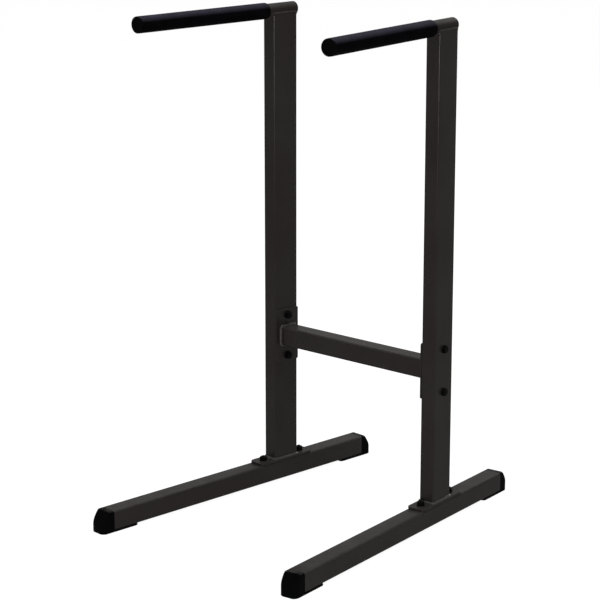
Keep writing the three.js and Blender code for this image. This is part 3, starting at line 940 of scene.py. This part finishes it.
def makeFootCap(side, end):
    level, shoulder, steps = footCap["level"], footCap["shoulder"], capSteps["shoulder"]
    stations = [footCap["noseStart"], level / 2, level]
    stations += [level + (shoulder - level) * i / steps for i in range(1, steps + 1)]
    curved = roundingStations(footCap["nose"], footCap["noseCorner"], capSteps["nose"])
    stations += [out for out in curved if out > shoulder + footCap["ringGap"]]
    cap = skinned("footCap_" + end + "_" + side, [noseRing(out) for out in stations])
    reach, corner = footCap["padReach"], footCap["padCorner"]
    stations = [-footCap["padLap"], 0, (reach - corner) / 2]
    stations += roundingStations(reach, corner, capSteps["pad"])
    pad = skinned("pad", [padRing(out) for out in stations])
    inner = baseTube["width"] - 2 * baseTube["wall"] - 2 * fitGap
    section = roundedOutline(inner, inner, footCap["spigotCorner"])
    spigot = skinned("spigot", [
        [(x, y, baseMiddle + z) for x, z in section]
        for y in (-footCap["spigotLap"], footCap["spigotLength"])
    ])
    hollowSize = inner - 2 * footCap["spigotWall"]
    start, stop = -footCap["hollowDepth"], footCap["spigotLength"] + footCap["spigotLap"]
    hollow = block((hollowSize, stop - start, hollowSize), (0, (start + stop) / 2, baseMiddle))
    combined(cap, [pad, spigot], "UNION")
    combined(cap, [hollow], "DIFFERENCE")
    eased(cap, footCap["seamEdge"], seamAngle)
    if end == "front":
        place = Matrix.Translation((0, -baseTube["frontReach"], 0))
    else:
        place = Matrix.Translation((0, baseTube["rearReach"], 0)) @ Matrix.Rotation(pi, 4, "Z")
    node = "foot_cap_" + end + "_" + side
    fitted(moved(cap, sidePlace(side) @ place), blackPlastic, [node])


for side in sides:
    for end in ("front", "rear"):
        makeFootCap(side, end)
print("foot caps moulded")


# Grips and plugs, drawn up Z and laid along the handle

grip = millimetres(
    inner=35.6, outer=41.6, front=466, rear=49.5, edge=1, taperReach=7, taperDrop=2.2, ring=4,
    unevenness=0.12,
)
gripLumps = {"perMetre": 22, "apart": 7, "level": 0.6}  # apart keeps the two sleeves from being alike
plug = millimetres(barrel=14.7, barrelLength=18, barrelWall=2, barrelEdge=0.4, headGap=0.1, headEdge=0.4)
gripPlug = millimetres(
    head=41, thickness=3.4, edge=1, dish=20, dishDepth=1.2, dishRim=0.3, dishEdge=0.2, dishSag=0.1,
)
rearPlug = millimetres(head=35, thickness=4.3, edge=3.5, crown=0.4)


def handlePlace(side, y, forwards=True):
    turn = ontoY if forwards else Matrix.Rotation(-pi / 2, 4, "X")
    return sidePlace(side) @ Matrix.Translation((0, y, layout["handleHeight"])) @ turn


def makeGrip(side):
    outer, inner, edge = grip["outer"] / 2, grip["inner"] / 2, grip["edge"]
    start = grip["rear"] + grip["taperReach"]
    length = grip["front"] - edge - start
    count = round(length / grip["ring"])
    taper = [(outer - grip["taperDrop"] * (1 - x), start + grip["taperReach"] * y)
             for x, y in edgeArc(0, 0, 1, -90, 0, steps=8)]
    profile = [
        (inner, grip["front"]), (inner, grip["rear"]),
        *taper,
        *[(outer, start + length * i / count) for i in range(1, count)],
        *edgeArc(outer - edge, grip["front"] - edge, edge, 0, 90),
    ]
    sleeve = turned("gripSleeve_" + side, profile, roundSteps["handle"], closed=True)
    shift = Vector((0, 0, gripLumps["apart"] * sides[side]))
    for vertex in sleeve.data.vertices:  # foam is never quite true
        flat = Vector((vertex.co.x, vertex.co.y, 0))
        if flat.length > outer - edge / 2:
            lump = min(noise.noise(vertex.co * gripLumps["perMetre"] + shift) - gripLumps["level"], 0)
            vertex.co += flat.normalized() * grip["unevenness"] * lump
    moved(sleeve, handlePlace(side, 0))
    fitted(sleeve, gripFoam, ["grip_" + side])


def plugProfile(head):
    # From the axis inside the barrel, round its end and the head, and back to the axis.
    barrel, wall, barrelEdge = plug["barrel"], plug["barrelWall"], plug["barrelEdge"]
    radius, top, edge = head["head"] / 2, head["thickness"], head["edge"]
    gap, headEdge = plug["headGap"], plug["headEdge"]
    profile = [
        (0, -wall), (barrel - wall, -wall), (barrel - wall, -plug["barrelLength"]),
        (barrel - barrelEdge, -plug["barrelLength"]), (barrel, -plug["barrelLength"] + barrelEdge),
        (barrel, gap),
        *edgeArc(radius - headEdge, gap + headEdge, headEdge, -90, 0, steps=2),
        *edgeArc(radius - edge, top - edge, edge, 0, 90, steps=6),
    ]
    if "dish" in head:
        rim, depth = head["dish"] / 2, head["dishDepth"]
        profile += [(rim + head["dishRim"], top), (rim, top - head["dishEdge"]), (rim - depth, top - depth)]
        profile += [(rim - 2 * depth, top - depth - head["dishSag"]), (0, top - depth)]
    else:
        profile += [(0, top + head["crown"])]
    return profile


def makePlug(name, head, place, node):
    piece = moved(turned(name, plugProfile(head), roundSteps["handle"]), place)
    fitted(piece, blackPlastic, [node])


for side in sides:
    frontPlace = handlePlace(side, -handle["frontReach"])
    rearPlace = handlePlace(side, handle["rearReach"], forwards=False)
    makeGrip(side)
    makePlug("gripPlug_" + side, gripPlug, frontPlace, "grip_end_plug_" + side)
    makePlug("rearPlug_" + side, rearPlug, rearPlace, "handle_rear_plug_" + side)
print("grips and plugs fitted")


# Fasteners: M10, drawn up Z from the face that they bear on

thread = millimetres(
    radius=4.93, depth=0.75, pitch=1.5, chamfer=1, length=26, runOut=1, protrusion=2.5,
    shank=4.9, fillet=0.4,
)
hexPart = millimetres(
    flats=17, headHeight=6.4, nutHeight=8.4, faceRadius=8, faceHeight=0.5, topEdge=0.8, topDrop=0.1,
    bore=5.05, boreChamfer=0.7,
)
washer = millimetres(outer=21, inner=10.6, thickness=2, edge=0.35, boreEdge=0.2)
dome = millimetres(radius=12, height=5, neck=10, neckLength=1.7, neckCorner=0.8, neckEdge=0.6)
hexChamfer = radians(30)
fastenerSteps = {"round": 48, "dome": 10, "perPitch": 8}


def ringAt(radius, height):
    return circle(radius, height, fastenerSteps["round"])


def hexRadius(angle):
    return hexPart["flats"] / 2 / cos((angle + pi / 6) % (pi / 3) - pi / 6)


def hexRing(height, chamferFrom):
    # The hexagon's edge, cut by the cone that chamfers its corners. chamferFrom is 1 above, -1 below.
    ring = []
    for angle in fullTurn(fastenerSteps["round"]):
        radius = hexRadius(angle)
        cut = (radius - hexPart["faceRadius"]) * tan(hexChamfer)
        ring.append((radius * cos(angle), radius * sin(angle), height - chamferFrom * cut))
    return ring


def squareRing(height):
    # The square neck under a round head.
    half = dome["neck"] / 2
    furthest = half * 2 ** 0.5 - dome["neckCorner"]
    ring = []
    for angle in fullTurn(fastenerSteps["round"]):
        radius = min(half / max(abs(cos(angle)), abs(sin(angle))), furthest)
        ring.append((radius * cos(angle), radius * sin(angle), height))
    return ring


def threadRings(start, end):
    # A helical thread with a chamfered end. Its groove deepens over the first pitch.
    rings = []
    steps = round((end - start) / (thread["pitch"] / fastenerSteps["perPitch"]))
    for k in range(steps + 1):
        height = start + (end - start) * k / steps
        deepest = thread["depth"] * min(1, k / fastenerSteps["perPitch"])
        chamfered = thread["radius"] - thread["chamfer"] + (end - height)
        ring = []
        for angle in fullTurn(fastenerSteps["round"]):
            groove = deepest * (0.5 - 0.5 * cos(2 * pi * height / thread["pitch"] - angle))
            radius = min(thread["radius"] - groove, chamfered)
            ring.append((radius * cos(angle), radius * sin(angle), height))
        rings.append(ring)
    rings.append(ringAt(0, end))
    return rings


def makeHexBolt(length):
    head, face, faceHeight = hexPart["headHeight"], hexPart["faceRadius"], hexPart["faceHeight"]
    threadStart = length - thread["length"]
    return skinned("hexBolt", [
        ringAt(0, -head),
        ringAt(face - hexPart["topEdge"], -head),
        ringAt(face, -head + hexPart["topDrop"]),
        hexRing(-head, -1),
        hexRing(-faceHeight, 1),
        ringAt(face, -faceHeight),
        ringAt(face, 0),
        ringAt(thread["shank"] + thread["fillet"], 0),
        ringAt(thread["shank"], thread["fillet"]),
        ringAt(thread["shank"], threadStart - thread["runOut"]),
        *threadRings(threadStart, length),
    ])


def makeDomeBolt(length):
    steps = fastenerSteps["dome"]
    quarter = [pi / 2 * i / steps for i in range(steps + 1)]
    neckLength = dome["neckLength"]
    return skinned("domeBolt", [
        *[ringAt(dome["radius"] * sin(angle), -dome["height"] * cos(angle)) for angle in quarter],
        squareRing(0),
        squareRing(neckLength),
        ringAt(thread["shank"], neckLength + dome["neckEdge"]),
        *threadRings(neckLength + thread["runOut"], length),
    ])


def makeNut():
    height, face = hexPart["nutHeight"], hexPart["faceRadius"]
    bore, chamfer = hexPart["bore"], hexPart["boreChamfer"]
    return skinned("nut", [
        ringAt(bore, chamfer),
        ringAt(bore + chamfer, 0),
        ringAt(face, 0),
        hexRing(0, -1),
        hexRing(height, 1),
        ringAt(face, height),
        ringAt(bore + chamfer, height),
        ringAt(bore, height - chamfer),
    ], closed=True)


def makeWasher():
    radius, bore, thickness = washer["outer"] / 2, washer["inner"] / 2, washer["thickness"]
    edge, boreEdge = washer["edge"], washer["boreEdge"]
    profile = [
        *edgeArc(radius - edge, edge, edge, -90, 0, steps=3),
        *edgeArc(radius - edge, thickness - edge, edge, 0, 90, steps=3),
        (bore + boreEdge, thickness), (bore, thickness - boreEdge),
        (bore, boreEdge), (bore + boreEdge, 0),
    ]
    return turned("washer", profile, fastenerSteps["round"], closed=True)


def seatMesh(name, seats):
    # One point for each seat: its place, its axis and a turn about that axis.
    mesh = bpy.data.meshes.new(name)
    mesh.from_pydata([place for place, axis, turn in seats], [], [])
    mesh.attributes.new("axis", "FLOAT_VECTOR", "POINT")
    mesh.attributes.new("turn", "FLOAT", "POINT")
    for i, (place, axis, turn) in enumerate(seats):
        mesh.attributes["axis"].data[i].vector = axis
        mesh.attributes["turn"].data[i].value = turn
    return mesh


def footSeats(height):
    seats = []
    for side, sign in sides.items():
        for y in (-baseTube["boltReach"], baseTube["boltReach"]):
            seats.append((sidePlace(side) @ Vector((0, y, height)), Vector((0, 0, 1)), sign * splay))
    return seats


def crossbarSeats(distance):
    # distance is measured from the upright's axis, inwards.
    seats = []
    for side, sign in sides.items():
        inwards = sidePlace(side).to_3x3() @ Vector((-sign, 0, 0))
        for level in (1, -1):
            height = layout["crossbarHeight"] + level * endPlate["boltReach"]
            seats.append((sidePlace(side) @ Vector((-sign * distance, 0, height)), inwards, 0.0))
    return seats


def seatFasteners(name, model, seats, node, endings, looseTurn, seed):
    values = {"Model": model, "Loose Turn": looseTurn, "Seed": seed, "Material": blackSteel}
    made = grown(name, seatTree, values, seatMesh(name, seats))
    bpy.data.objects.remove(model)
    fitted(made, blackSteel, [node + ending for ending in endings], smoothAngle=28)


# The foot bolts' square necks hold them straight, and all the others are turned at random.
endings = ["_" + end + "_" + side for side in sides for end in ("front", "rear")]
boltSeat = baseTop - baseTube["wall"]
nutSeat = plateTop + washer["thickness"]
boltLength = nutSeat + hexPart["nutHeight"] + thread["protrusion"] - boltSeat
for name, model, height, node, looseTurn, seed in (
    ("footBolts", makeDomeBolt(boltLength), boltSeat, "base_bolt", 0.0, 1),
    ("footWashers", makeWasher(), plateTop, "base_washer", pi, 2),
    ("footNuts", makeNut(), nutSeat, "base_nut", pi, 5),
):
    seatFasteners(name, model, footSeats(height), node, endings, looseTurn, seed)

endings = ["_" + level + "_" + side for side in sides for level in ("upper", "lower")]
outerSeat = -upright["width"] / 2 - washer["thickness"]
innerSeat = endPlate["face"] + washer["thickness"]
boltLength = innerSeat + hexPart["nutHeight"] + thread["protrusion"] - outerSeat
for name, model, distance, node, seed in (
    ("crossbarBolts", makeHexBolt(boltLength), outerSeat, "crossbar_bolt", 3),
    ("crossbarHeadWashers", makeWasher(), outerSeat, "crossbar_head_washer", 4),
    ("crossbarNutWashers", makeWasher(), endPlate["face"], "crossbar_nut_washer", 6),
    ("crossbarNuts", makeNut(), innerSeat, "crossbar_nut", 7),
):
    seatFasteners(name, model, crossbarSeats(distance), node, endings, pi, seed)
print("fasteners seated")


# Floor, world and lamps

def brightWhere(tree):
    # 1 for rays that look at the background, straight or by a reflection or through glass.
    path = wire(tree, "ShaderNodeLightPath").outputs
    seen = maths(tree, "MAXIMUM", path["Is Camera Ray"], path["Is Glossy Ray"])
    return maths(tree, "MAXIMUM", seen, path["Is Transmission Ray"])


studio = {
    "floorReach": 60, "floorTone": 0.8, "speckShare": 0.985,
    "glow": 1.12, "glowShare": 0.85, "surround": 0.32,
    "shader": {"Roughness": 0.9, "Specular IOR Level": 0.0},
    "grain": {"Grain Size": 0.01, "Mottle Size": 0.6},
}
shape = bmesh.new()
bmesh.ops.create_grid(shape, x_segments=8, y_segments=8, size=studio["floorReach"])
floor = fromBmesh("floor", shape)
floorPaint, tree, shader = newMaterial("floorPaint", studio["shader"])
speck = groupIn(tree, grainTree, studio["grain"])
plain = studio["floorTone"]
specked = studio["floorTone"] * studio["speckShare"]
tone = mixed(tree, speck["Mottle"], (plain, plain, plain), (specked, specked, specked))
tree.links.new(tone, shader.inputs["Base Color"])
glow = wire(tree, "ShaderNodeEmission", {"Strength": studio["glow"]})
blend = wire(tree, "ShaderNodeMixShader", {
    0: maths(tree, "MULTIPLY", brightWhere(tree), studio["glowShare"]),
    1: shader.outputs[0],
    2: glow.outputs[0],
})
tree.links.new(blend.outputs[0], tree.nodes["Material Output"].inputs["Surface"])
floor.data.materials.append(floorPaint)

world = bpy.data.worlds.new("studio")
bpy.context.scene.world = world
world.use_nodes = True
tree = world.node_tree
soft = tree.nodes["Background"]
soft.inputs["Color"].default_value = (1, 1, 1, 1)
soft.inputs["Strength"].default_value = studio["surround"]
white = wire(tree, "ShaderNodeBackground", {"Color": (1, 1, 1, 1), "Strength": 1.0})
choice = wire(tree, "ShaderNodeMixShader", {0: brightWhere(tree), 1: soft.outputs[0], 2: white.outputs[0]})
tree.links.new(choice.outputs[0], tree.nodes["World Output"].inputs["Surface"])

lamps = {
    "overhead": {"place": (0.2, 0.0, 5.0), "aim": (0, 0.1, 0.6), "size": 3.5, "power": 205},
    "behind": {"place": (-1.2, 6.5, 2.8), "aim": (0, 0, 0.7), "size": 1.2, "power": 205},
    "nearCamera": {"place": (3.5, -4.6, 0.45), "aim": (0, 0, 0.7), "size": 0.4, "power": 170},
}
for name, lamp in lamps.items():
    data = bpy.data.lights.new(name, "AREA")
    data.size = lamp["size"]
    data.energy = lamp["power"]
    light = bpy.data.objects.new(name, data)
    light.location = lamp["place"]
    aim = Vector(lamp["aim"]) - Vector(lamp["place"])
    light.rotation_euler = aim.to_track_quat("-Z", "Y").to_euler()
    bpy.context.scene.collection.objects.link(light)

bpy.context.scene.view_settings.view_transform = "Standard"
print("studio lit")
